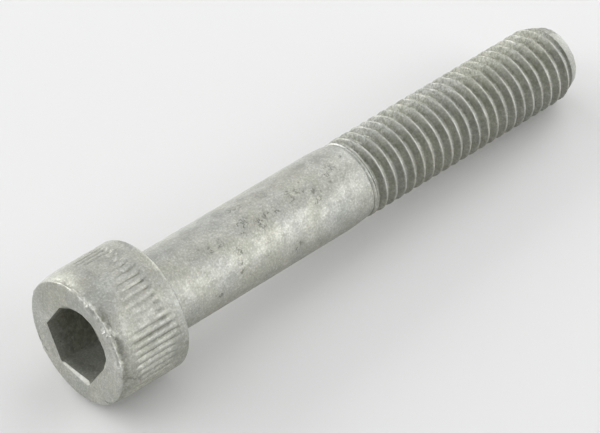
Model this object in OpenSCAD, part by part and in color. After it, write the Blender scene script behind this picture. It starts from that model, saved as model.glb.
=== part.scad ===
// Hexagon socket head cap screw with a partly threaded shank, lying at rest on a flat surface.
// Millimetres, +Z up. The origin is on that surface, under the middle of the screw. The head is towards -X.
// Each form is drawn along the screw's own axis, with z = 0 at the top face of the head.
// The whole screw is laid down at the end.

/* [Head] */
// Diameter of the head over the tops of the knurl
head_d = 16; // [15:0.1:20]
// Height of the head, from its top face to its bearing face
head_h = 9.8; // [8:0.1:14]
// How much narrower the head is next to the rounded edge of its top face
head_taper = 0.3; // [0.1:0.05:0.8]
// Length from the top face over which the head widens to its full diameter
head_taper_len = 2.5; // [1.5:0.1:4]
// Radius of the rounded edge round the top face
top_edge_r = 0.5; // [0.2:0.05:0.9]
// Radius of the rounded edge round the bearing face
seat_edge_r = 0.45; // [0.15:0.05:0.6]

/* [Knurl] */
// Number of straight grooves round the head
knurl_count = 52; // [30:1:60]
// Depth of a groove
knurl_depth = 0.22; // [0.1:0.01:0.3]
// Angle between the two flanks of a groove
knurl_angle = 90; // [60:5:100]
// Plain band between the top face and the grooves
knurl_top_band = 1.5; // [1:0.1:2.5]
// Plain band between the grooves and the bearing face
knurl_seat_band = 1.3; // [1:0.1:2.5]

/* [Socket] */
// Width of the hexagon across its flats
socket_af = 8.15; // [7:0.05:9]
// Depth of the hexagon's flats below the top face
socket_depth = 5.2; // [4:0.1:6]
// How far the conical lead-in reaches past the hexagon's corners, at the top face
socket_lead = 0.7; // [0.3:0.05:0.9]
// Angle between opposite sides of the lead-in
socket_lead_angle = 140; // [100:5:150]
// Angle between opposite sides of the socket's conical floor
socket_floor_angle = 120; // [110:5:150]
// Turn of the hexagon about the screw's axis, from a corner that points down
socket_turn = 29; // [0:1:59]

/* [Shank] */
// Length from the bearing face to the end of the point
shank_len = 65; // [50:1:100]
// Diameter of the plain shank
shank_d = 10; // [9.9:0.05:12]
// Radius of the fillet between the bearing face and the shank
fillet_r = 0.6; // [0.3:0.05:1]
// Length of the taper from the plain shank down to the neck
taper_len = 0.8; // [0.4:0.1:2]
// Diameter of the neck in front of the thread
neck_d = 9.64; // [9.4:0.02:9.8]
// Length of the neck
neck_len = 0.4; // [0.3:0.1:2]

/* [Thread] */
// Diameter over the crests
thread_d = 9.8; // [9.7:0.05:9.9]
// Distance between neighbouring crests
pitch = 1.5; // [1.25:0.05:1.75]
// Height of a crest above its root
thread_depth = 0.88; // [0.6:0.01:1]
// Length from the first trace of the thread to the end of the point
thread_len = 34.2; // [26:0.1:45]
// Length over which the thread grows to its full height
runout_len = 1.2; // [0.8:0.1:3]
// Width of the flat on a crest
crest_flat = 0.2; // [0.1:0.01:0.3]
// Width of the flat along a root
root_flat = 0.36; // [0.2:0.01:0.5]
// Turn of the helix about the screw's axis
thread_turn = 213; // [0:1:359]
// Flat sides in one turn of the thread
thread_sides = 32; // [24:4:36]

/* [Point] */
// Length of the chamfer at the end of the thread
point_len = 2.4; // [0.8:0.1:3]
// Diameter of the flat end face
point_d = 7.8; // [6.5:0.1:8]

/* [Hidden] */
$fn = 96;
hair = 0.01;

head_r = head_d / 2;
head_top_r = head_r - head_taper / 2;
shank_r = shank_d / 2;
neck_r = neck_d / 2;
thread_r = thread_d / 2;
root_r = thread_r - thread_depth;
point_r = point_d / 2;

// Stations along the axis, from the top face to the end
tip_z = head_h + shank_len;
thread_z = tip_z - thread_len;
neck_z = thread_z - neck_len;
taper_z = neck_z - taper_len;
chamfer_z = tip_z - point_len;
// The chamfer's cone passes the crests at chamfer_z, and is as wide as the shank a little before that
cone_z = tip_z - point_len * (shank_r - point_r) / (thread_r - point_r);

// Socket corners, and the cones of its lead-in and floor
socket_corner_r = socket_af / 2 / cos(30);
lead_r = socket_corner_r + socket_lead;
lead_slope = tan(socket_lead_angle / 2);
floor_cone_h = socket_corner_r / tan(socket_floor_angle / 2);

// The thread's rod starts a little inside the neck and runs on past the end, where the point cuts it
rod_start_z = thread_z - neck_len / 2;
rod_end_z = tip_z + pitch;
rod_start_r = neck_r - 0.1;
first_crest_z = thread_z + pitch * thread_turn / 360;

// The screw lies on the rounded edge of its head and on a flat side of the last whole crest
touch_r = thread_r * cos(180 / thread_sides);
half_side = pitch / thread_sides / 2;
last_turn = floor((chamfer_z - first_crest_z - half_side + crest_flat / 2) / pitch);
touch_z = min(first_crest_z + last_turn * pitch + half_side + crest_flat / 2, chamfer_z);
edge_z = head_h - seat_edge_r;
edge_r = head_r - seat_edge_r;
rest_reach = norm([touch_z - edge_z, edge_r - touch_r]);
rest_tilt = acos(-seat_edge_r / rest_reach) - atan2(touch_z - edge_z, edge_r - touch_r);
rest_lift = edge_r * cos(rest_tilt) + edge_z * sin(rest_tilt) + seat_edge_r;
low_x = top_edge_r * cos(rest_tilt) - (head_top_r - top_edge_r) * sin(rest_tilt) - top_edge_r;
high_x = tip_z * cos(rest_tilt) + point_r * sin(rest_tilt);

function part_way(from, to, share) = from + (to - from) * max(0, min(1, share));
function crest_at(z) = z >= rod_end_z ? root_r : part_way(rod_start_r, thread_r, (z - thread_z) / runout_len);
function root_at(z) = part_way(rod_start_r, root_r, (z - thread_z) / runout_len);

module at_rest() {
    translate([-(low_x + high_x) / 2, 0, rest_lift])
        rotate([0, 90 + rest_tilt, 0])
            children();
}

// Half sections, with the radius along x and the screw's axis along y

module head_section() {
    polygon([
        [0, 0],
        [head_top_r - top_edge_r, 0],
        [head_top_r - top_edge_r, top_edge_r],
        [head_top_r, top_edge_r],
        [head_r, head_taper_len],
        [head_r, edge_z],
        [edge_r, edge_z],
        [edge_r, head_h],
        [0, head_h]
    ]);
    translate([head_top_r - top_edge_r, top_edge_r])
        circle(r = top_edge_r);
    translate([edge_r, edge_z])
        circle(r = seat_edge_r);
}

module shank_section() {
    polygon([
        [0, head_h - hair],
        [shank_r, head_h - hair],
        [shank_r, taper_z],
        [neck_r, neck_z],
        [neck_r, thread_z],
        [0, thread_z]
    ]);
    difference() {
        translate([shank_r - hair, head_h - hair])
            square(fillet_r + hair);
        translate([shank_r + fillet_r, head_h + fillet_r])
            circle(r = fillet_r);
    }
}

// Cutters

module knurl_grooves() {
    over = 0.1;
    band_z = knurl_top_band;
    band_h = head_h - knurl_top_band - knurl_seat_band;
    half_w = (knurl_depth + over) * tan(knurl_angle / 2);
    floor_r = head_r - knurl_depth;
    intersection() {
        translate([0, 0, band_z])
            linear_extrude(height = band_h)
                for (i = [0 : knurl_count - 1])
                    rotate(i * 360 / knurl_count)
                        polygon([[floor_r, 0], [head_r + over, -half_w], [head_r + over, half_w]]);
        // The grooves run out on a slope at both ends
        rotate_extrude()
            polygon([
                [floor_r - over, band_z + 2 * (knurl_depth + over)],
                [head_r + over, band_z],
                [head_r + over, band_z + band_h],
                [floor_r - over, band_z + band_h - 2 * (knurl_depth + over)]
            ]);
    }
}

module socket() {
    rotate(socket_turn)
        translate([0, 0, -hair])
            cylinder(r = socket_corner_r, h = socket_depth + hair, $fn = 6);
    // Conical lead-in
    translate([0, 0, -hair])
        cylinder(r1 = lead_r + hair * lead_slope, r2 = 0, h = lead_r / lead_slope + hair);
    // Conical floor, kept inside the hexagon
    intersection() {
        translate([0, 0, socket_depth - hair])
            cylinder(r1 = socket_corner_r, r2 = 0, h = floor_cone_h);
        rotate(socket_turn)
            cylinder(r = socket_corner_r, h = head_h, $fn = 6);
    }
}

// Threaded rod: rows of points that follow the helix, closed by a flat end at both ends

module threaded_rod() {
    flank = (pitch - crest_flat - root_flat) / 2;
    corner_z = [-crest_flat / 2, crest_flat / 2, crest_flat / 2 + flank, pitch - crest_flat / 2 - flank];
    corners = len(corner_z);
    first_turn = floor((rod_start_z - first_crest_z) / pitch) - 1;
    end_turn = ceil((rod_end_z - first_crest_z) / pitch) + 1;
    rows = (end_turn - first_turn) * corners;
    columns = thread_sides;

    function corner_at(row, column) =
        let (
            turned = (column + 0.5) / columns,
            wanted = first_crest_z + (first_turn + floor(row / corners) + turned) * pitch
                + corner_z[row % corners],
            z = max(rod_start_z, min(rod_end_z, wanted)),
            r = row % corners < 2 ? crest_at(z) : root_at(z),
            angle = 360 * turned
        )
        [r * cos(angle), r * sin(angle), z];

    // The seam joins the last column to the first one, a whole turn further on
    function place(row, column) =
        column < columns ? row * columns + column : (row + corners) * columns;

    total_rows = rows + corners;
    points = [for (row = [0 : total_rows - 1], column = [0 : columns - 1]) corner_at(row, column)];
    start_centre = len(points);
    end_centre = start_centre + 1;
    walls = [
        for (row = [0 : rows - 2], column = [0 : columns - 1])
            let (
                a = place(row, column),
                b = place(row, column + 1),
                c = place(row + 1, column + 1),
                d = place(row + 1, column)
            )
            for (face = [[a, c, b], [a, d, c]])
                if (points[face[0]] != points[face[1]] && points[face[1]] != points[face[2]]
                    && points[face[2]] != points[face[0]])
                    face
    ];
    start_face = [
        for (column = [0 : columns - 1])
            [start_centre, place(0, column), place(0, (column + 1) % columns)]
    ];
    end_face = [
        for (column = [0 : columns - 1])
            [end_centre, place(rows - 1, (column + 1) % columns), place(rows - 1, column)]
    ];
    polyhedron(
        points = concat(points, [[0, 0, rod_start_z], [0, 0, rod_end_z]]),
        faces = concat(walls, start_face, end_face)
    );
}

module thread() {
    intersection() {
        threaded_rod();
        rotate_extrude()
            polygon([
                [0, head_h],
                [shank_r, head_h],
                [shank_r, cone_z],
                [point_r, tip_z],
                [0, tip_z]
            ]);
    }
}

module cap_screw() {
    color([0.66, 0.67, 0.63])
        at_rest()
            union() {
                difference() {
                    rotate_extrude()
                        union() {
                            head_section();
                            shank_section();
                        }
                    knurl_grooves();
                    socket();
                }
                thread();
            }
}

cap_screw();
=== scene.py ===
"""Looks of a zinc-coated hexagon socket head cap screw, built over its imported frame."""

from math import atan2, cos, degrees, exp, hypot, pi, radians, sin

import bmesh
import bpy
from mathutils import Matrix, Vector, noise


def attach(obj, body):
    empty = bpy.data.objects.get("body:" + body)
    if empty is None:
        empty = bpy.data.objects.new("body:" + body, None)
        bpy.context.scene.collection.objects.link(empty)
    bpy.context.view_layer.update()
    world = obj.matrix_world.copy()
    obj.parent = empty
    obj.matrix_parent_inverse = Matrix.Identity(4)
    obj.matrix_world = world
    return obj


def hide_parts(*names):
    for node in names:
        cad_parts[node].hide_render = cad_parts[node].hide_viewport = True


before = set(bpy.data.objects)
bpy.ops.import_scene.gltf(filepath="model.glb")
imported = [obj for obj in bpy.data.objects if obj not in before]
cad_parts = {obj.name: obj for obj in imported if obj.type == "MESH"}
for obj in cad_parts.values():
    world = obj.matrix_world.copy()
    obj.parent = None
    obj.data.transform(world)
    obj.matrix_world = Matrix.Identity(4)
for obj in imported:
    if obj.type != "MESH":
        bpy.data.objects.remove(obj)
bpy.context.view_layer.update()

# The screw is modelled upright on its own axis, in millimetres, and laid down at the end.
# z = 0 is the top face of the head. Angles go round the axis from the side that ends up underneath.
MM = 0.001

HEAD_R = 8.0
HEAD_H = 9.8
HEAD_TOP_R = 7.68
HEAD_TAPER_Z = 2.5
TOP_EDGE_R = 0.22
SEAT_EDGE_R = 0.45
HEAD_COLUMNS = 416
EDGE_STEPS = 6
# Rings of points on the top face, down the lip, rim and side, and on the bearing face
FACE_RING_R = (0, 4.4, 4.8, 5.2, 5.6, 5.9, 6.2, 6.5, 6.8, 7.05, 7.2, 7.35)
LIP_START_Z = 0.29
LIP_END_Z = 0.78
LIP_STEPS = 7
RIM_RING_Z = (0.88, 1.0, 1.12, 1.25, 1.4, 1.55)
SIDE_START_Z = 1.75
SIDE_STEPS = 32
SEAT_RING_R = (7.2, 6.6, 5.4, 0)
# Down to here the side of the head belongs to its rim
RIM_END_Z = 1.6

KNURL_COUNT = 52
KNURL_DEPTH = 0.24
KNURL_START_Z = 1.7
KNURL_END_Z = 8.6
KNURL_FADE = 0.5
# Share of the depth at the middle of a groove and at the columns beside it
KNURL_SECTION = (1.0, 0.62, 0.22, 0.04)
# The coating fills the knurl round the upper side: its middle, and how far off it that starts to end and ends
FILLED_ANGLE = 178
FILLED_REACH = (48, 64)
# It also fills the grooves from the top face, there and on the other sides, and towards the bearing face
FILL_FROM_FACE_Z = (1.8, 5.4)
FILL_FROM_FACE_BELOW_Z = (1.2, 3.4)
FILL_TO_SEAT_Z = (7.1, 8.2)
# On the upper side a short band of the grooves stays open
OPEN_BAND_Z = 6.9
OPEN_BAND_WIDTH = 0.5
# How much each of these fills, and how much of it is uneven
FACE_FILL = 0.9
UPPER_FILL = 0.68
SEAT_FILL = 0.7
UNEVEN_FILL = 0.45

SOCKET_FLATS = 8.4
SOCKET_DEPTH = 5.2
SOCKET_TURN = 29
SOCKET_CORNER_R = 0.15
SOCKET_FLOOR_DROP = 1.9
# The first part of the drop, and how wide the floor still is there
SOCKET_FLOOR_STEP = 0.3
SOCKET_FLOOR_STEP_WIDTH = 0.8
SOCKET_RING_Z = (0.35, 0.6, 1.0, 1.6, 2.4, 3.6, SOCKET_DEPTH)
# How far the cutter of the socket stands out of the top face
SOCKET_CUTTER_OUT = 1
# The punch went in a little off the middle
SOCKET_OFF_CENTRE = (0.52, 0.15)
# Outline of the worn mouth on the top face, as angles and radii, and how steeply it falls in from there
MOUTH_OUTLINE = (
    (86, 4.9), (26, 5.51), (-23, 5.49), (-95, 5.3), (-107, 5.46), (-119, 5.58), (-136, 5.68),
    (-152, 5.72), (-167, 5.5), (-184, 5.08), (-206, 4.86), (-274, 4.9),
)
MOUTH_SLOPE = 0.85
MOUTH_SLOPE_BELOW = 0.95
MOUTH_BELOW_WIDTH = 40
MOUTH_COLUMNS = 120
MOUTH_CUTTER_Z = (-0.4, 1.4)
# The socket and its mouth lie inside the first radius, and the rim and side of the head outside the second
SOCKET_SIDE_R = 5.9
RIM_START_R = HEAD_TOP_R - 0.9
# Up to the first place the coating is that of the top face, and from the second on that of the shank
FACE_COAT_END_Z = 0.2
SHANK_COAT_START_Z = HEAD_H + 0.2
# The knurl's marks lie outside this radius
KNURL_COAT_R = HEAD_R - 0.4
# The lower wall of the socket, where the painted shade is lighter, ends between these angles, and above it
# the edge of the mouth gets a painted highlight
LOWER_WALL_REACH = (26.8, 28.6)
SHEEN_EDGE_REACH = 40
SHEEN_EDGE_END_Z = 0.345
# The lip of zinc round the rim, and the furrow behind it
LIP_HEIGHT = 0.07
FURROW_DEPTH = 0.09

SHANK_R = 5.0
FILLET_R = 0.6
SHANK_COLUMNS = 160
PLAIN_START_Z = HEAD_H + 0.85
PLAIN_STEPS = 96
# The shank starts inside the head, and its fillet a hair inside the bearing face
SHANK_IN_HEAD = 1.5
FILLET_SUNK = 0.02
SHOULDER_START_Z = 37.4
SHOULDER_END_Z = 40.3
SHOULDER_BEND = 1.7
SHOULDER_STEPS = 14
NECK_END_Z = 40.75
NECK_R = 4.75

THREAD_R = 4.9
THREAD_DEPTH = 0.84
PITCH = 1.5
CREST_FLAT = 0.2
ROOT_FLAT = 0.36
FIRST_CREST_Z = 41.4875
ROD_START_Z = 40.3
RUN_OUT_R = 4.74
THREAD_COLUMNS = 88
# The helix starts some turns before the first crest, and both its ends are cut off
TURNS_BEFORE = 2
TURNS = 26
# Where the crests reach their full radius, the roots their depth, the split of the crest closes,
# and the run-out is over
CREST_FULL_Z = 41.2
ROOT_FULL_Z = 42.0
CREST_CLOSED_Z = 42.6
RUN_OUT_DONE_Z = 43.5
# The groove that splits the first crest: its depth and half its width, and how the crest spreads beside it
SPLIT_DEPTH = 0.07
SPLIT_HALF_WIDTH = 0.08
SPLIT_REACH = 0.3
SPLIT_SPREAD = 0.5

POINT_Z = 74.8
POINT_LENGTH = 2.4
POINT_R = 3.9
POINT_CUTTER_COLUMNS = 96
POINT_CUTTER_R = 7.0
POINT_CUTTER_OVER = 0.6
# From here on a point lies on the end face
END_FACE_Z = POINT_Z - 0.02
# Beads of zinc on the crests, and how much higher they are on the pale side
BEAD_HEIGHT = 0.04
BEAD_HEIGHT_MORE = 0.03

# Where the screw lies: the middle of the head's top face, and how far the axis dips towards the point
REST_TILT = 2.872607
HEAD_TOP_AT = (-37.266241 * MM, 0.0, 8.459092 * MM)
# Edges up to this angle look smooth
SMOOTH_UP_TO = 38

# Lumps of the coating: their height, and how fine they are
LUMP_HEIGHT = 0.016
LUMP_FINENESS = 0.55
FINE_LUMP_HEIGHT = 0.008
FINE_LUMP_FINENESS = 2.6
# A crack's width, that of its dark line, and how far off it still counts
CRACK_WIDTH = 0.14
CRACK_LINE_WIDTH = 0.13
CRACK_REACH = 0.6
# How soft a pit's edge is, how deep a pit shows in full, and how far off pits and scratches count
PIT_EDGE = 0.8
PIT_FULL_DEPTH = 0.05
PIT_REACH = 1.5
SCRATCH_REACH = 3

# The underside, which gets painted shade, ends between these angles, to both sides
UNDERSIDE_REACH = (65, 112)
# Middles of the sides on which the coating differs, as angles: the pale, lit side of the thread, with higher
# beads, more specks and less painted shade; the thread's roots with painted shade; the shaded sides of the
# shank and head with painted shade, darkest at one angle on the head; the top of the shank with a painted
# highlight; the darker side of the top face; and the crumbled rim
THREAD_PALE_ANGLE = 150
THREAD_DARK_ROOT_ANGLE = -172
SHANK_SHADED_SIDE_ANGLE = -156
SHANK_SHEEN_ANGLE = 160
HEAD_SHADED_SIDE_ANGLE = -100
HEAD_DARKEST_SHADE_ANGLE = -82
FACE_DARKER_ANGLE = 165
CRUMBLED_RIM_ANGLE = -135

# Colours of the zinc coat and of the floor
GREY_ZINC = (0.478, 0.488, 0.443, 1)
PALE_ZINC = (0.588, 0.593, 0.546, 1)
WARM_ZINC = (0.548, 0.543, 0.464, 1)
COOL_ZINC = (0.49, 0.505, 0.495, 1)
DARK_GRAIN = (0.30, 0.31, 0.27, 1)
BRIGHT_GRAIN = (0.80, 0.80, 0.76, 1)
PIT_DARK = (0.17, 0.175, 0.15, 1)
# Olive for grime and for painted shade
SHADE_AND_GRIME_OLIVE = (0.235, 0.24, 0.19, 1)
# Pale zinc for worn, bare places and for painted highlights
BARE_AND_SHEEN_ZINC = (0.78, 0.78, 0.74, 1)
FLOOR_GREY = (0.81, 0.81, 0.81, 1)
FLOOR_PALE = (0.83, 0.83, 0.83, 1)
SURROUND_GREY = (0.02, 0.02, 0.02, 1)

FLOOR_SIZE = 6

# The camera of the photograph: its place, and its own directions in the frame
CAMERA_AT = (-0.187135, -0.200954, 0.282126)
CAMERA_RIGHT = (0.739177, -0.673509, 0.000241)
CAMERA_UP = (0.480147, 0.527210, 0.701074)
CAMERA_BACK = (-0.472314, -0.5181, 0.713089)
CAMERA_LENS = 202.3
CAMERA_SENSOR = 36

SOFTBOX_DISTANCE = 0.6
SOFTBOX_SIZE = 0.4
# Lamps round the screw: azimuth from the point's side, height in degrees and power
SOFTBOXES = (
    ("top_softbox", 0, 90, 0.30),
    ("point_softbox", 0, 20, 0.80),
    ("point_back_softbox", 30, 20, 0.68),
    ("point_high_softbox", 20, 45, 0.58),
    ("back_softbox", 100, 20, 2.35),
    ("back_head_softbox", 150, 45, 0.85),
    ("back_head_low_softbox", 145, 24, 0.4),
    ("head_softbox", 200, 45, 0.6),
    ("front_low_softbox", -56, 20, 1.22),
    ("front_high_softbox", -46, 45, 0.48),
    ("front_head_softbox", -90, 45, 0.30),
)

# Crumbs of zinc on the rim of the head: angle, place along the axis, width and height
RIM_CRUMBS = (
    (-172, 0.20, 0.35, 0.10),
    (-164, 0.10, 0.50, 0.30),
    (-159, 0.30, 0.35, 0.18),
    (-151, 0.10, 0.30, 0.10),
    (-145, 0.20, 0.30, 0.10),
    (-138, 0.05, 0.58, 0.34),
    (-133, 0.25, 0.45, 0.27),
    (-123, 0.15, 0.35, 0.12),
    (-115, 0.10, 0.30, 0.10),
    (-107, 0.10, 0.45, 0.30),
    (-103, 0.30, 0.30, 0.18),
    (46, 0.10, 0.50, 0.08),
    (110, 0.20, 0.40, 0.08),
    (160, 0.15, 0.45, 0.09),
    (175, 0.15, 0.35, 0.10),
    (-20, 0.20, 0.40, 0.09),
)

# Cracks in the coating of the head: angle and distance behind the rim at both ends, and the depth
HEAD_CRACKS = (
    (-94, 0.0, -90, 1.2, 0.05),
    (-90, 1.2, -81, 2.8, 0.04),
    (-44, -0.48, -53, 0.06, 0.06),
    (63, -0.19, 45, -0.71, 0.03),
)

# Pits in the coating of the shank: place along the axis, angle, length along the axis and across it, depth
PITS = (
    (31.4, -166, 0.45, 0.5, 0.05),
    (32.0, -163, 0.35, 0.45, 0.05),
    (33.1, -155, 0.4, 0.5, 0.06),
    (32.5, -176, 0.25, 0.3, 0.05),
    (30.2, -170, 0.25, 0.3, 0.04),
    (39.1, -178, 0.28, 0.3, 0.07),
    (36.7, -178, 0.3, 0.25, 0.04),
    (38.0, -146, 0.3, 0.35, 0.03),
    (35.8, -153, 0.3, 0.4, 0.03),
    (29.1, -100, 0.25, 0.6, 0.05),
    (20.2, -110, 0.25, 0.4, 0.06),
    (19.3, -159, 0.5, 0.5, 0.03),
    (15.0, -40, 0.5, 0.4, 0.04),
    (27.0, 10, 0.4, 0.5, 0.04),
    (34.0, 60, 0.4, 0.5, 0.05),
    (25.5, 120, 0.4, 0.6, 0.04),
)

# Patches of the shank with fine scratches: place along the axis, angle, length along the axis and across it
SCRATCHED = (
    (23.2, -166, 1.3, 0.9),
    (22.5, -160, 0.5, 1.3),
    (25.0, -152, 0.8, 1.2),
    (26.4, -157, 0.9, 0.6),
    (28.5, -98, 0.6, 0.9),
    (20.1, -104, 0.4, 1.3),
    (24.0, 168, 1.2, 0.8),
    (36.5, -168, 1.2, 0.9),
    (33.0, -140, 0.9, 0.8),
    (30.1, -160, 0.7, 0.5),
    (27.9, 173, 0.6, 0.5),
    (23.6, 166, 0.6, 0.6),
    (19.2, -159, 0.6, 0.7),
    (21.0, -137, 0.5, 0.7),
    (20.4, -120, 0.5, 1.0),
    (16.7, -96, 0.8, 0.6),
    (35.9, -163, 0.8, 0.6),
    (27.9, -159, 0.8, 0.6),
    (17.8, -157, 0.5, 0.5),
    (18.6, 173, 0.6, 0.5),
    (18.0, 95, 1.2, 1.0),
    (30.0, 35, 1.4, 0.9),
    (21.0, -30, 1.0, 1.1),
)


def spread(start, end, steps):
    return [start + (end - start) * i / steps for i in range(steps + 1)]


def arc(middle_r, middle_z, radius, start, end, steps):
    """Points of a half section along an arc, with angles from outwards to towards the point."""
    return [
        (middle_r + radius * cos(radians(a)), middle_z + radius * sin(radians(a)))
        for a in spread(start, end, steps)
    ]


def ease(low, high, value):
    """From 0 at low to 1 at high, without a kink at either end."""
    share = min(1.0, max(0.0, (value - low) / (high - low)))
    return share * share * (3 - 2 * share)


def hump(distance, width):
    return exp(-((distance / width) ** 2))


def turn_apart(a, b):
    """The angle from b to a in degrees, from -180 to 180."""
    return (a - b + 180) % 360 - 180


def select_only(piece):
    bpy.ops.object.select_all(action="DESELECT")
    piece.select_set(True)
    bpy.context.view_layer.objects.active = piece


def edit(piece):
    select_only(piece)
    bpy.ops.object.mode_set(mode="EDIT")


def leave_edit():
    bpy.ops.object.mode_set(mode="OBJECT")


def select_where(piece, test):
    """Selects the vertices whose place passes the test, with the edges and faces between them."""
    mesh = bmesh.from_edit_mesh(piece.data)
    for vertex in mesh.verts:
        vertex.select = test(vertex.co)
    mesh.select_flush_mode()
    bmesh.update_edit_mesh(piece.data)


def close_up():
    """Merges what meets and turns the faces outwards."""
    bpy.ops.mesh.select_all(action="SELECT")
    bpy.ops.mesh.remove_doubles(threshold=0.001)
    bpy.ops.mesh.normals_make_consistent(inside=False)


def extrude_by(outwards, along):
    """Extrudes what is selected, outwards from the axis and along it."""
    bpy.ops.mesh.extrude_region_move(TRANSFORM_OT_translate={"value": (outwards, 0, along)})


def draw_section(name, points):
    """Draws a half section point by point, and stays in edit mode."""
    bpy.ops.object.select_all(action="DESELECT")
    bpy.ops.mesh.primitive_plane_add(size=1)
    piece = bpy.context.active_object
    piece.name = piece.data.name = name
    bpy.ops.object.mode_set(mode="EDIT")
    bpy.ops.mesh.merge(type="CENTER")
    bpy.ops.transform.translate(value=(points[0][0], 0, points[0][1]))
    for (r0, z0), (r1, z1) in zip(points, points[1:]):
        extrude_by(r1 - r0, z1 - z0)
    return piece


def turn_on_lathe(name, points, columns):
    piece = draw_section(name, points)
    bpy.ops.mesh.select_all(action="SELECT")
    bpy.ops.mesh.spin(steps=columns, angle=2 * pi, center=(0, 0, 0), axis=(0, 0, 1))
    close_up()
    leave_edit()
    return piece


def combine(piece, other, how):
    """Adds the other piece to this one or cuts it out of it, and removes the other."""
    select_only(piece)
    bpy.ops.object.modifier_add(type="BOOLEAN")
    modifier = piece.modifiers[-1]
    modifier.operation = how
    modifier.solver = "MANIFOLD"
    modifier.object = other
    bpy.ops.object.modifier_apply(modifier=modifier.name)
    bpy.ops.object.select_all(action="DESELECT")
    other.select_set(True)
    bpy.ops.object.delete()


def head_side_r(z):
    """Radius of the head's side, which widens a little behind the rim."""
    left = 1 - min(1.0, max(0.0, (z - TOP_EDGE_R) / (HEAD_TAPER_Z - TOP_EDGE_R)))
    return HEAD_R - (HEAD_R - HEAD_TOP_R) * left * left


def head_section():
    face = [(r, 0) for r in FACE_RING_R]
    top_edge = arc(HEAD_TOP_R - TOP_EDGE_R, TOP_EDGE_R, TOP_EDGE_R, -90, 0, EDGE_STEPS)
    lip_z = spread(LIP_START_Z, LIP_END_Z, LIP_STEPS)
    side_z = spread(SIDE_START_Z, HEAD_H - SEAT_EDGE_R - 0.1, SIDE_STEPS)
    side = [(head_side_r(z), z) for z in (*lip_z, *RIM_RING_Z, *side_z)]
    seat_edge = arc(HEAD_R - SEAT_EDGE_R, HEAD_H - SEAT_EDGE_R, SEAT_EDGE_R, 0, 90, EDGE_STEPS)
    seat = [(r, HEAD_H) for r in SEAT_RING_R]
    return face + top_edge + side + seat_edge + seat


def press_knurl(head):
    """Draws every groove's columns in towards the axis, and lets the coating fill some of them again."""
    per_groove = HEAD_COLUMNS // KNURL_COUNT
    hair = 0.01
    deepest = KNURL_DEPTH * 1.1
    edit(head)
    for away, share in enumerate(KNURL_SECTION):
        shrink = 1 - KNURL_DEPTH * share / HEAD_R

        def in_groove(place):
            column = round(atan2(place.y, place.x) / (2 * pi) * HEAD_COLUMNS) % per_groove
            return (
                min(column, per_groove - column) == away
                and KNURL_START_Z < place.z < KNURL_END_Z
                and hypot(place.x, place.y) > head_side_r(place.z) - hair
            )

        select_where(head, in_groove)
        bpy.ops.transform.resize(value=(shrink, shrink, 1), center_override=(0, 0, 0))
    leave_edit()
    for vertex in head.data.vertices:
        place = vertex.co
        r = hypot(place.x, place.y)
        full_r = head_side_r(place.z)
        if full_r - deepest < r < full_r - hair / 2 and KNURL_START_Z < place.z < KNURL_END_Z:
            fill = 1 + (full_r / r - 1) * knurl_filling(place)
            vertex.co.x *= fill
            vertex.co.y *= fill


def knurl_filling(place):
    """How much of a groove the coating fills here, from 0 to 1."""
    angle = degrees(atan2(place.y, place.x))
    patch = noise.fractal(Vector((place.x * 0.3, place.y * 0.3, place.z * 0.16)), 0.8, 2.0, 3)
    low = ease(*FILLED_REACH, abs(turn_apart(angle, FILLED_ANGLE)))
    from_z, to_z = (a + (b - a) * low for a, b in zip(FILL_FROM_FACE_Z, FILL_FROM_FACE_BELOW_Z))
    near_face = 1 - ease(from_z, to_z, place.z)
    above = (1 - low) * (1 - 0.9 * hump(place.z - OPEN_BAND_Z, OPEN_BAND_WIDTH))
    near_seat = ease(*FILL_TO_SEAT_Z, place.z)
    ends = 1 - ease(0, KNURL_FADE, min(place.z - KNURL_START_Z, KNURL_END_Z - place.z))
    filled = FACE_FILL * near_face + UPPER_FILL * above + SEAT_FILL * near_seat + UNEVEN_FILL * patch
    return min(1.0, max(0.0, filled, ends))


def key_hole():
    """The solid that the hexagon key would fill, with rounded corners and a sloped floor."""
    bpy.ops.object.select_all(action="DESELECT")
    first_z = SOCKET_RING_Z[0]
    bpy.ops.mesh.primitive_cylinder_add(
        vertices=6,
        radius=SOCKET_FLATS / 2 / cos(radians(30)),
        depth=first_z + SOCKET_CUTTER_OUT,
        location=(*SOCKET_OFF_CENTRE, (first_z - SOCKET_CUTTER_OUT) / 2),
        rotation=(0, 0, radians(SOCKET_TURN - 30)),
    )
    piece = bpy.context.active_object
    piece.name = piece.data.name = "key_hole"
    bpy.ops.object.transform_apply(location=True, rotation=True, scale=True)
    edit(piece)
    bpy.ops.mesh.select_all(action="DESELECT")
    bpy.ops.mesh.select_mode(type="EDGE")
    mesh = bmesh.from_edit_mesh(piece.data)
    for edge in mesh.edges:
        a, b = edge.verts
        edge.select = abs(a.co.z - b.co.z) > SOCKET_CUTTER_OUT
    bmesh.update_edit_mesh(piece.data)
    bpy.ops.mesh.bevel(offset=SOCKET_CORNER_R, segments=4, affect="EDGES")
    bpy.ops.mesh.select_mode(type="VERT")
    select_where(piece, lambda place: place.z > first_z - 0.01)
    for higher, lower in zip(SOCKET_RING_Z, SOCKET_RING_Z[1:]):
        extrude_by(0, lower - higher)
    extrude_by(0, SOCKET_FLOOR_DROP * SOCKET_FLOOR_STEP)
    bpy.ops.transform.resize(
        value=(SOCKET_FLOOR_STEP_WIDTH, SOCKET_FLOOR_STEP_WIDTH, 1),
        center_override=(*SOCKET_OFF_CENTRE, 0),
    )
    extrude_by(0, SOCKET_FLOOR_DROP * (1 - SOCKET_FLOOR_STEP))
    bpy.ops.mesh.merge(type="CENTER")
    close_up()
    leave_edit()
    return piece


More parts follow.
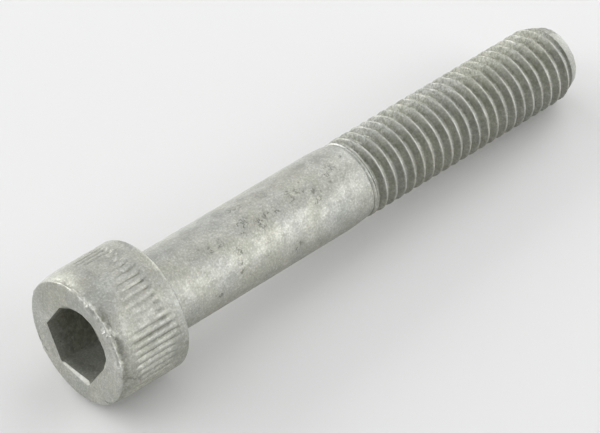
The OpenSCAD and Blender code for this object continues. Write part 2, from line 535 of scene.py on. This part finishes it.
def mouth_r(angle):
    """Radius of the mouth's outline on the top face, along straight lines between its corners."""
    first_angle = MOUTH_OUTLINE[0][0]
    turned = first_angle - (first_angle - angle) % 360
    for (a0, r0), (a1, r1) in zip(MOUTH_OUTLINE, MOUTH_OUTLINE[1:]):
        if a1 <= turned <= a0:
            span, part = radians(a0 - a1), radians(a0 - turned)
            return r0 * r1 * sin(span) / (r0 * sin(part) + r1 * sin(span - part))


def worn_mouth():
    """The solid that wear and the coating's drips have taken off round the mouth of the socket."""
    above, below = MOUTH_CUTTER_Z
    blank_r = 5
    bpy.ops.object.select_all(action="DESELECT")
    bpy.ops.mesh.primitive_cylinder_add(
        vertices=MOUTH_COLUMNS,
        radius=blank_r,
        depth=below - above,
        location=(0, 0, (above + below) / 2),
    )
    piece = bpy.context.active_object
    piece.name = piece.data.name = "worn_mouth"
    bpy.ops.object.transform_apply(location=True, rotation=True, scale=True)
    for vertex in piece.data.vertices:
        place = vertex.co
        angle = degrees(atan2(place.y, place.x))
        below_share = hump(angle, MOUTH_BELOW_WIDTH)
        slope = MOUTH_SLOPE + (MOUTH_SLOPE_BELOW - MOUTH_SLOPE) * below_share
        r = mouth_r(angle) - place.z / slope
        place.x, place.y = place.x * r / blank_r, place.y * r / blank_r
    return piece


def shank_section():
    root = [(0, HEAD_H - SHANK_IN_HEAD), (SHANK_R + FILLET_R, HEAD_H - SHANK_IN_HEAD)]
    fillet = arc(SHANK_R + FILLET_R, HEAD_H + FILLET_R - FILLET_SUNK, FILLET_R, 270, 180, EDGE_STEPS)
    plain = [(SHANK_R, z) for z in spread(PLAIN_START_Z, SHOULDER_START_Z - 0.1, PLAIN_STEPS)]
    drop = SHANK_R - NECK_R
    length = SHOULDER_END_Z - SHOULDER_START_Z
    shoulder = [
        (SHANK_R - drop * ((z - SHOULDER_START_Z) / length) ** SHOULDER_BEND, z)
        for z in spread(SHOULDER_START_Z + 0.05, SHOULDER_END_Z, SHOULDER_STEPS)
    ]
    # The neck ends inside the first turn of the thread
    neck = [(NECK_R - 0.02, NECK_END_Z - 0.25), (NECK_R - 0.1, NECK_END_Z), (0, NECK_END_Z)]
    return root + fillet + plain + shoulder + neck


def one_pitch():
    """Half section of one turn of the thread, from the middle of a crest to the middle of the next."""
    flank = (PITCH - CREST_FLAT - ROOT_FLAT) / 2
    fall = THREAD_DEPTH / flank
    crest_end = CREST_FLAT / 2
    root_start = crest_end + flank
    # The edges of the crest and of the root are rounded a little
    half = [
        (THREAD_R, 0),
        (THREAD_R, crest_end * 0.5),
        (THREAD_R - 0.025, crest_end),
        (THREAD_R - fall * 0.05, crest_end + 0.05),
        (THREAD_R - fall * flank * 0.35, crest_end + flank * 0.35),
        (THREAD_R - fall * flank * 0.65, crest_end + flank * 0.65),
        (THREAD_R - fall * (flank - 0.06), root_start - 0.06),
        (THREAD_R - THREAD_DEPTH + 0.03, root_start),
        (THREAD_R - THREAD_DEPTH, root_start + 0.08),
    ]
    middle = (THREAD_R - THREAD_DEPTH, PITCH / 2)
    return half + [middle] + [(r, PITCH - z) for r, z in reversed(half)]


def off_crest(place):
    """How far along the axis a point lies from the middle of the nearest crest."""
    turned = degrees(atan2(place.y, place.x)) / 360
    return (place.z - FIRST_CREST_Z - turned * PITCH + PITCH / 2) % PITCH - PITCH / 2


def crest_r(z):
    """Radius of the crests, which start low out of the neck and end in the chamfer of the point."""
    chamfer = POINT_R + (POINT_Z - z) * (THREAD_R - POINT_R) / POINT_LENGTH
    return min(RUN_OUT_R + (THREAD_R - RUN_OUT_R) * ease(ROD_START_Z, CREST_FULL_Z, z), chamfer)


def run_out(rod):
    """Lets the thread start shallow out of the neck, with two fine lips where its crest isn't closed yet."""
    for vertex in rod.data.vertices:
        place = vertex.co
        if place.z > RUN_OUT_DONE_Z:
            continue
        away = off_crest(place)
        r = hypot(place.x, place.y)
        depth = (THREAD_R - r) * ease(ROD_START_Z - 0.1, ROOT_FULL_Z, place.z)
        unclosed = 1 - ease(CREST_FULL_Z, CREST_CLOSED_Z, place.z)
        split = SPLIT_DEPTH * unclosed * max(0.0, 1 - abs(away) / SPLIT_HALF_WIDTH)
        wanted = crest_r(place.z) - depth - split
        place.x *= wanted / r
        place.y *= wanted / r
        if abs(away) < SPLIT_REACH:
            place.z += away * SPLIT_SPREAD * unclosed


def make_thread():
    start_z = FIRST_CREST_Z - TURNS_BEFORE * PITCH
    rod = draw_section("thread", [(r, start_z + z) for r, z in one_pitch()])
    leave_edit()
    bpy.ops.object.modifier_add(type="SCREW")
    screw = rod.modifiers[-1]
    screw.axis = "Z"
    screw.angle = 2 * pi
    screw.screw_offset = PITCH
    screw.iterations = TURNS
    screw.steps = screw.render_steps = THREAD_COLUMNS
    screw.use_merge_vertices = True
    screw.merge_threshold = 0.001
    bpy.ops.object.modifier_apply(modifier=screw.name)
    run_out(rod)
    edit(rod)
    close_up()
    for z, towards in ((ROD_START_Z, 1), (POINT_Z, -1)):
        bpy.ops.mesh.select_all(action="SELECT")
        bpy.ops.mesh.bisect(plane_co=(0, 0, z), plane_no=(0, 0, towards), use_fill=True, clear_inner=True)
    close_up()
    leave_edit()
    combine(rod, point_cutter(), "DIFFERENCE")
    return rod


def point_cutter():
    """The ring of metal that the chamfer of the point takes off."""
    slope = (THREAD_R - POINT_R) / POINT_LENGTH
    start_z = POINT_Z - POINT_LENGTH - POINT_CUTTER_OVER
    end_z = POINT_Z + POINT_CUTTER_OVER
    section = [
        (POINT_R + (POINT_Z - start_z) * slope, start_z),
        (POINT_R - (end_z - POINT_Z) * slope, end_z),
        (POINT_CUTTER_R, end_z),
        (POINT_CUTTER_R, start_z),
        (POINT_R + (POINT_Z - start_z) * slope, start_z),
    ]
    return turn_on_lathe("point_cutter", section, POINT_CUTTER_COLUMNS)


def rim_relief(place, r, angle):
    """Height of the lip of zinc round the rim of the head, with its crumbs and the furrow behind it."""
    ragged = noise.noise(place * 1.7)
    fine = noise.noise(place * 5.0)
    near_crumbs = 0.4 + 0.6 * (1 - ease(35, 70, abs(turn_apart(angle, CRUMBLED_RIM_ANGLE))))
    lip = hump(place.z - 0.1, 0.15) * ease(7.05, 7.45, r)
    height = LIP_HEIGHT * near_crumbs * lip * (1 + 0.9 * ragged + 0.3 * fine)
    furrow = hump(place.z - 0.5, 0.35) * ease(0.15, 0.4, place.z)
    height -= FURROW_DEPTH * (1.6 * near_crumbs - 0.6) * furrow * (0.8 + 0.5 * ragged)
    for crumb_angle, crumb_z, width, tall in RIM_CRUMBS:
        across = radians(turn_apart(angle, crumb_angle)) * r
        if abs(across) < 3 * width:
            along = place.z - crumb_z + 0.8 * (HEAD_TOP_R - r)
            height += tall * hump(hypot(across, along), width) * (0.9 + 0.5 * fine)
    return height


def crack_at(place, r, angle):
    """Depth of the cracks at a place on the head, and how strongly it is marked."""
    depth = mark = 0.0
    behind = place.z if place.z > TOP_EDGE_R else place.z - max(0.0, HEAD_TOP_R - r)
    for start_angle, start, end_angle, end, deep in HEAD_CRACKS:
        run = radians(end_angle - start_angle) * HEAD_R
        rise = end - start
        across = radians(turn_apart(angle, start_angle)) * HEAD_R
        share = min(1.0, max(0.0, (across * run + (behind - start) * rise) / (run * run + rise * rise)))
        away = hypot(across - share * run, behind - start - share * rise)
        if away < CRACK_REACH:
            depth = max(depth, deep * hump(away, CRACK_WIDTH))
            mark = max(mark, hump(away, CRACK_LINE_WIDTH))
    return depth, mark


def pit_at(z, angle):
    """Depth of the pits at a place on the shank, and how strongly it is marked."""
    depth = mark = 0.0
    for pit_z, pit_angle, long, wide, deep in PITS:
        if abs(z - pit_z) < PIT_REACH:
            across = radians(turn_apart(angle, pit_angle)) * SHANK_R
            share = hump(hypot((z - pit_z) / long, across / wide), PIT_EDGE)
            depth += deep * share
            mark = max(mark, share * min(1.0, deep / PIT_FULL_DEPTH))
    return depth, mark


def scratches_at(z, angle):
    """How scratched a place on the shank is, from 0 to 1."""
    share = 0.0
    uneven = 0.85 + 0.9 * noise.noise(Vector((z * 1.6, radians(angle) * SHANK_R * 1.6, 0)))
    for patch_z, patch_angle, long, wide in SCRATCHED:
        if abs(z - patch_z) < SCRATCH_REACH:
            across = radians(turn_apart(angle, patch_angle)) * SHANK_R
            share = max(share, 1 - ease(0.4, 1.2, hypot((z - patch_z) / long, across / wide)))
    return share * min(1.0, max(0.0, uneven))


def zinc_on_thread(place, r, angle, under):
    """Height of the beads of zinc on the thread, its dirt and painted shade, its wear and painted highlight,
    and how pitted it is.
    """
    off_top = max(0.0, crest_r(place.z) - r)
    above = 1 - ease(20, 70, abs(turn_apart(angle, THREAD_PALE_ANGLE)))
    top = 1 - ease(0.0, 0.05, off_top)
    # Olive grime and painted shade on the flanks, lighter on the lit side, with some painted shade on the
    # crest tops there
    flank_shade_and_dirt = (1 - top) * (0.76 - 0.42 * off_top / THREAD_DEPTH) * (1 - 0.8 * above)
    # Painted shade deep in the roots round the dark-root angle
    root = ease(0.3, 0.75, off_top) * (1 - ease(25, 55, abs(turn_apart(angle, THREAD_DARK_ROOT_ANGLE))))
    broken = noise.noise(place * 1.3)
    gap_dirt = top * (1 - above) * min(0.4, -1.1 * broken)
    shade_and_dirt = max(flank_shade_and_dirt + 0.4 * top * above, 0.8 * root, 0.45 * under, gap_dirt)
    # Worn crests with a painted highlight, none on the underside
    worn = 0.8 + 1.2 * broken
    beaded = 2.2 * noise.noise(place * 2.4)
    wear_and_sheen = top * (1 - under) * max(0.0, worn + (beaded - worn) * above)
    if place.z > END_FACE_Z:
        shade_and_dirt, wear_and_sheen = 0.0, 0.2
    elif place.z > POINT_Z - POINT_LENGTH:
        shade_and_dirt = max(shade_and_dirt, 0.4 * ease(0.0, 1.2, place.z - POINT_Z + POINT_LENGTH))
        wear_and_sheen *= 0.3
    beads = 1 - ease(0.15, 0.5, off_top)
    height = beads * (BEAD_HEIGHT + BEAD_HEIGHT_MORE * above) * noise.noise(place * 3.0)
    return height, shade_and_dirt, wear_and_sheen, 0.42 * above


def zinc_on_shank(place, angle, under):
    """Height of the coating on the shank, its painted shade and painted highlight, and how pitted it is."""
    depth, pit = pit_at(place.z, angle)
    height = 0.012 * noise.noise(place * 0.9) - depth
    # Painted shade on the underside and along one side
    shade_and_dirt = max(0.5 * under, 0.2 * hump(turn_apart(angle, SHANK_SHADED_SIDE_ANGLE), 22))
    # Painted highlight along the top
    wear_and_sheen = 0.6 * hump(turn_apart(angle, SHANK_SHEEN_ANGLE), 25)
    return height, shade_and_dirt, wear_and_sheen, pit


def zinc_on_head(place, r, angle, under):
    """Height of the coating on the rim and side of the head, its painted shade and painted highlights, and
    how cracked it is.
    """
    depth, crack = crack_at(place, r, angle)
    height = -depth
    shade_and_dirt = wear_and_sheen = 0.0
    # Painted shade on the front side of the head, darkest round its own angle
    front = 1 - ease(45, 75, abs(turn_apart(angle, HEAD_SHADED_SIDE_ANGLE)))
    side_shade = 0.25 * front + 0.35 * hump(angle - HEAD_DARKEST_SHADE_ANGLE, 22)
    if place.z < RIM_END_Z:
        lip = rim_relief(place, r, angle)
        height += lip
        # Painted highlight on the raised lip and crumbs
        wear_and_sheen = min(1.0, 7 * max(0.0, lip - 0.02))
        # Painted shadow behind the lip on the front side, going over into the side's painted shade
        behind = 0.8 * front + (side_shade - 0.8 * front) * ease(0.5, RIM_END_Z, place.z)
        shade_and_dirt = max(0.4 * under, behind) * ease(0.2, 0.4, place.z)
    elif r > KNURL_COAT_R:
        open_share = 1 - knurl_filling(place)
        groove = cos(radians(angle) * KNURL_COUNT)
        # Painted shade in the open grooves, on the underside and on the front side
        shade_and_dirt = max(0.4 * under, side_shade, 0.75 * open_share * max(0.0, groove))
        # Painted highlight on the ridges between open grooves, none on the underside
        wear_and_sheen = 0.4 * open_share * max(0.0, -groove) * (1 - under)
    return height, shade_and_dirt, wear_and_sheen, crack


def zinc_in_socket(place, r, angle):
    """Painted shade down in the socket, lighter on its lower wall, and a painted highlight on the lower edge
    of its mouth.
    """
    lower_wall = 1 - ease(*LOWER_WALL_REACH, abs(angle))
    # Painted shade, darker deeper in
    shade_and_dirt = 0.76 * ease(0.3, 1.4, place.z) * (1 - 0.75 * lower_wall)
    wear_and_sheen = 0.0
    # Painted highlight on the lower edge of the mouth
    if place.z < SHEEN_EDGE_END_Z and abs(angle) < SHEEN_EDGE_REACH:
        wear_and_sheen = 0.5 * (1 - ease(0.0, 0.5, r - mouth_r(angle)))
    return shade_and_dirt, wear_and_sheen


def coat(piece):
    """Lays the lumpy zinc on the metal, and marks where it is dirty or has painted shade, where it is worn or
    has a painted highlight, and where it is pitted or scratched.
    """
    mesh = piece.data
    places = [vertex.co.copy() for vertex in mesh.vertices]
    normals = [vertex.normal.copy() for vertex in mesh.vertices]
    marks = {"grime_and_shade": [], "bare_and_sheen": [], "pitted": [], "scratched": []}
    for vertex, place, normal in zip(mesh.vertices, places, normals):
        r = hypot(place.x, place.y)
        angle = degrees(atan2(place.y, place.x))
        lump = LUMP_HEIGHT * noise.fractal(place * LUMP_FINENESS, 0.9, 2.0, 3)
        lump += FINE_LUMP_HEIGHT * noise.noise(place * FINE_LUMP_FINENESS)
        height = shade_and_dirt = wear_and_sheen = pit = scratch = 0.0
        # Painted shade on the underside, where the crests and knurl ridges also lose their painted highlights
        under = 1 - ease(*UNDERSIDE_REACH, abs(angle))
        if place.z > NECK_END_Z:
            height, shade_and_dirt, wear_and_sheen, pit = zinc_on_thread(place, r, angle, under)
        elif place.z > SHANK_COAT_START_Z:
            height, shade_and_dirt, wear_and_sheen, pit = zinc_on_shank(place, angle, under)
            scratch = scratches_at(place.z, angle)
        elif r > RIM_START_R:
            height, shade_and_dirt, wear_and_sheen, pit = zinc_on_head(place, r, angle, under)
        elif r < SOCKET_SIDE_R:
            shade_and_dirt, wear_and_sheen = zinc_in_socket(place, r, angle)
        # The top face is darker round its upper side
        if place.z < FACE_COAT_END_Z:
            shade_and_dirt = max(shade_and_dirt, 0.25 * (1 - ease(30, 70, abs(turn_apart(angle, FACE_DARKER_ANGLE)))))
        vertex.co = place + normal * (lump + height)
        for name, value in zip(marks, (shade_and_dirt, wear_and_sheen, pit, scratch)):
            marks[name].append(value)
    for name, values in marks.items():
        mesh.attributes.new(name, "FLOAT", "POINT").data.foreach_set("value", values)


def lay_down(piece):
    """Sets the finished screw at its real size where it lies, with its place in its mesh."""
    piece.scale = (MM, MM, MM)
    piece.rotation_euler = (0, radians(90 + REST_TILT), 0)
    piece.location = HEAD_TOP_AT
    select_only(piece)
    bpy.ops.object.transform_apply(location=True, rotation=True, scale=True)
    bpy.ops.object.shade_smooth_by_angle(angle=radians(SMOOTH_UP_TO))


class Finish:
    """A material's nodes, added one by one."""

    def __init__(self, name):
        self.material = bpy.data.materials.new(name)
        self.material.use_nodes = True
        self.tree = self.material.node_tree
        self.tree.nodes.clear()

    def add(self, kind, inputs=None, **settings):
        node = self.tree.nodes.new("ShaderNode" + kind)
        for name, value in settings.items():
            setattr(node, name, value)
        for name, value in (inputs or {}).items():
            self.set(node.inputs[name], value)
        return node

    def set(self, socket, value):
        if isinstance(value, bpy.types.NodeSocket):
            self.tree.links.new(value, socket)
        else:
            socket.default_value = value

    def noise(self, coords, scale, detail=3.0, roughness=0.55):
        node = self.add(
            "TexNoise",
            {"Vector": coords, "Scale": scale, "Detail": detail, "Roughness": roughness},
        )
        return node.outputs["Fac"]

    def between(self, value, low, high, to_low=0.0, to_high=1.0):
        node = self.add(
            "MapRange",
            {"Value": value, "From Min": low, "From Max": high, "To Min": to_low, "To Max": to_high},
            interpolation_type="SMOOTHSTEP",
        )
        return node.outputs["Result"]

    def math(self, operation, a, b):
        return self.add("Math", {0: a, 1: b}, operation=operation).outputs[0]

    def mix(self, share, a, b):
        node = self.add("Mix", data_type="RGBA")
        self.set(node.inputs[0], share)
        self.set(node.inputs[6], a)
        self.set(node.inputs[7], b)
        return node.outputs[2]

    def attribute(self, name):
        return self.add("Attribute", attribute_type="GEOMETRY", attribute_name=name).outputs["Fac"]


def zinc_coat():
    finish = Finish("dull_zinc_coat")
    coords = finish.add("TexCoord").outputs["Object"]
    grime_and_shade = finish.attribute("grime_and_shade")
    bare_and_sheen = finish.attribute("bare_and_sheen")
    pitted = finish.attribute("pitted")
    scratched = finish.attribute("scratched")

    cloud = finish.between(finish.noise(coords, 420, 3.0), 0.36, 0.66)
    tint = finish.between(finish.noise(coords, 140, 2.0), 0.4, 0.62)
    cool = finish.between(finish.noise(coords, 230, 3.0), 0.48, 0.62, 0.0, 0.4)
    grain = finish.noise(coords, 4200, 2.0, 0.6)
    colour = finish.mix(cloud, GREY_ZINC, PALE_ZINC)
    colour = finish.mix(finish.math("MULTIPLY", tint, 0.5), colour, WARM_ZINC)
    colour = finish.mix(cool, colour, COOL_ZINC)
    colour = finish.mix(finish.between(grain, 0.36, 0.52, 0.36, 0.0), colour, DARK_GRAIN)
    colour = finish.mix(finish.between(grain, 0.55, 0.68, 0.0, 0.45), colour, BRIGHT_GRAIN)
    specks = finish.between(finish.noise(coords, 1300, 4.0, 0.7), 0.65, 0.72)
    colour = finish.mix(finish.math("MULTIPLY", specks, 0.65), colour, PIT_DARK)
    ragged = finish.between(finish.noise(coords, 2600, 4.0, 0.65), 0.35, 0.6)
    pit = finish.between(finish.math("MULTIPLY", pitted, ragged), 0.15, 0.5)
    colour = finish.mix(finish.math("MULTIPLY", pit, 0.6), colour, PIT_DARK)
    off_middle = finish.math("SUBTRACT", finish.noise(coords, 900, 3.0, 0.6), 0.5)
    winding = finish.math("ABSOLUTE", off_middle, 0.0)
    scratch = finish.math("MULTIPLY", finish.between(winding, 0.0, 0.055, 1.0, 0.0), scratched)
    colour = finish.mix(finish.math("MULTIPLY", scratch, 0.95), colour, PIT_DARK)
    mottled = finish.between(finish.noise(coords, 1900, 4.0, 0.7), 0.4, 0.6, 0.42, 1.0)
    # Olive grime and painted shade, mottled
    colour = finish.mix(finish.math("MULTIPLY", grime_and_shade, mottled), colour, SHADE_AND_GRIME_OLIVE)
    # Worn, bare zinc and painted highlights
    colour = finish.mix(finish.math("MULTIPLY", bare_and_sheen, 0.3), colour, BARE_AND_SHEEN_ZINC)

    lumps = finish.noise(coords, 900, 3.0)
    rough = finish.between(lumps, 0.35, 0.65, 0.48, 0.6)
    relief = finish.add(
        "Bump",
        {"Height": grain, "Strength": 0.5, "Distance": 0.00004},
    ).outputs["Normal"]
    relief = finish.add(
        "Bump",
        {"Height": lumps, "Strength": 0.35, "Distance": 0.0001, "Normal": relief},
    ).outputs["Normal"]
    shader = finish.add(
        "BsdfPrincipled", {"Base Color": colour, "Roughness": rough, "Metallic": 0.9, "Normal": relief}
    )
    finish.add("OutputMaterial", {"Surface": shader.outputs["BSDF"]})
    return finish.material


def floor_paint():
    finish = Finish("pale_floor_paint")
    coords = finish.add("TexCoord").outputs["Object"]
    tone = finish.between(finish.noise(coords, 6, 2.0), 0.3, 0.7)
    colour = finish.mix(tone, FLOOR_GREY, FLOOR_PALE)
    shader = finish.add("BsdfPrincipled", {"Base Color": colour, "Roughness": 0.7})
    finish.add("OutputMaterial", {"Surface": shader.outputs["BSDF"]})
    return finish.material


def make_screw():
    screw = turn_on_lathe("zinc_cap_screw", head_section(), HEAD_COLUMNS)
    press_knurl(screw)
    combine(screw, key_hole(), "DIFFERENCE")
    combine(screw, worn_mouth(), "DIFFERENCE")
    combine(screw, turn_on_lathe("shank", shank_section(), SHANK_COLUMNS), "UNION")
    combine(screw, make_thread(), "UNION")
    coat(screw)
    lay_down(screw)
    screw.data.materials.clear()
    screw.data.materials.append(zinc_coat())
    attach(screw, "root")
    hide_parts("cap_screw")


def make_floor():
    bpy.ops.object.select_all(action="DESELECT")
    bpy.ops.mesh.primitive_plane_add(size=FLOOR_SIZE)
    floor = bpy.context.active_object
    floor.name = floor.data.name = "studio_floor"
    floor.data.materials.append(floor_paint())


def add_softbox(name, towards, power):
    """A square lamp that faces the screw from the given direction."""
    back = Vector(towards).normalized()
    bpy.ops.object.light_add(type="AREA", location=back * SOFTBOX_DISTANCE)
    lamp = bpy.context.active_object
    lamp.name = lamp.data.name = name
    lamp.data.size = SOFTBOX_SIZE
    lamp.data.energy = power
    lamp.rotation_euler = (-back).to_track_quat("-Z", "Y").to_euler()


def light_studio():
    for name, azimuth, height, power in SOFTBOXES:
        level = cos(radians(height))
        towards = (level * cos(radians(azimuth)), level * sin(radians(azimuth)), sin(radians(height)))
        add_softbox(name, towards, power)
    world = bpy.data.worlds.new("studio_surround")
    bpy.context.scene.world = world
    world.use_nodes = True
    surround = world.node_tree.nodes["Background"]
    surround.inputs["Color"].default_value = SURROUND_GREY
    surround.inputs["Strength"].default_value = 1.0


def place_camera():
    """Looks down on the head end, as the photograph does."""
    bpy.ops.object.camera_add()
    camera = bpy.context.active_object
    camera.name = camera.data.name = "photo_camera"
    camera.data.sensor_width = CAMERA_SENSOR
    camera.data.lens = CAMERA_LENS
    camera.data.clip_start = 0.01
    turn = Matrix((CAMERA_RIGHT, CAMERA_UP, CAMERA_BACK)).transposed().to_4x4()
    camera.matrix_world = Matrix.Translation(CAMERA_AT) @ turn
    bpy.context.scene.camera = camera


make_screw()
make_floor()
light_studio()
place_camera()
bpy.context.scene.view_settings.view_transform = "Standard"
